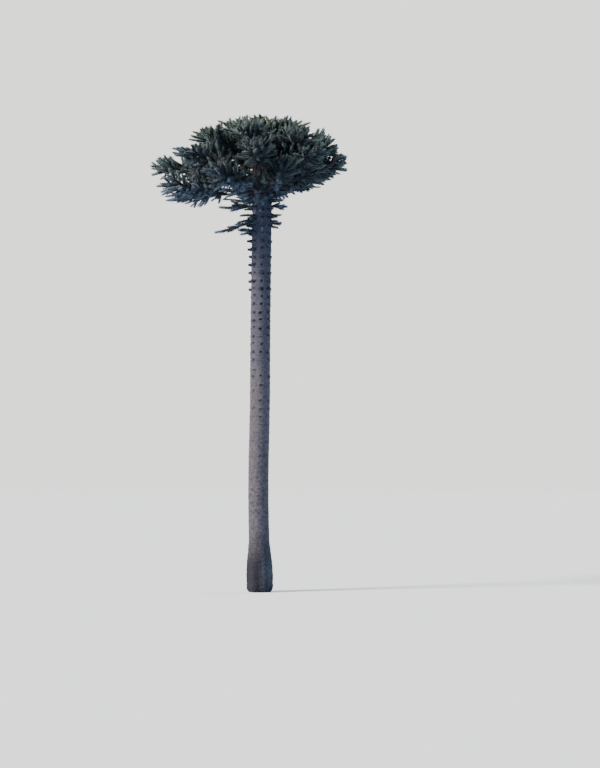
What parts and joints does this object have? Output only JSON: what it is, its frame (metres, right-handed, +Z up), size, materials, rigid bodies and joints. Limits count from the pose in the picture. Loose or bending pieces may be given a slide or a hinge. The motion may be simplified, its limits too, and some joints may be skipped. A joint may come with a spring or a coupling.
{
  "type": "monkey puzzle tree",
  "caption": "Old monkey puzzle tree: a tall bare trunk with a flared foot, under a wide umbrella crown of rope-like tails of scale leaves.",
  "frame": {"origin": "middle of the flat cut under the trunk, at ground level", "axes": "+Z up along the trunk; the side that the picture shows faces -Y, with +X to its right"},
  "size_m": [12.5763, 12.5339, 30.001],
  "materials": {
    "bark": "rough grey plated bark with ring scars",
    "limb": "rough dark bark",
    "foliage": "stiff dark green scale leaves"
  },
  "bodies": {
    "root": {"trunk": "bark", "bough_low_1": "limb", "bough_low_2": "limb", "bough_low_3": "limb", "bough_low_4": "limb", "bough_low_5": "limb", "bough_low_6": "limb", "bough_low_7": "limb", "bough_low_8": "limb", "bough_wide_1": "limb", "bough_wide_2": "limb", "bough_wide_3": "limb", "bough_wide_4": "limb", "bough_wide_5": "limb", "bough_wide_6": "limb", "bough_wide_7": "limb", "bough_wide_8": "limb", "bough_dome_1": "limb", "bough_dome_2": "limb", "bough_dome_3": "limb", "bough_dome_4": "limb", "bough_dome_5": "limb", "bough_dome_6": "limb", "bough_dome_7": "limb", "foliage_low_1": "foliage", "foliage_low_2": "foliage", "foliage_low_3": "foliage", "foliage_low_4": "foliage", "foliage_low_5": "foliage", "foliage_low_6": "foliage", "foliage_low_7": "foliage", "foliage_low_8": "foliage", "foliage_wide_1": "foliage", "foliage_wide_2": "foliage", "foliage_wide_3": "foliage", "foliage_wide_4": "foliage", "foliage_wide_5": "foliage", "foliage_wide_6": "foliage", "foliage_wide_7": "foliage", "foliage_wide_8": "foliage", "foliage_dome_1": "foliage", "foliage_dome_2": "foliage", "foliage_dome_3": "foliage", "foliage_dome_4": "foliage", "foliage_dome_5": "foliage", "foliage_dome_6": "foliage", "foliage_dome_7": "foliage", "foliage_crest_1": "foliage", "foliage_crest_2": "foliage", "foliage_crest_3": "foliage", "foliage_crest_4": "foliage", "leader": "foliage", "shoot_left_spray": "foliage", "shoot_left_long": "foliage", "shoot_left_short": "foliage", "shoot_right_spray": "foliage", "shoot_right_short": "foliage", "shoot_front_spray": "foliage", "shoot_back_spray": "foliage"}
  },
  "joints": []
}
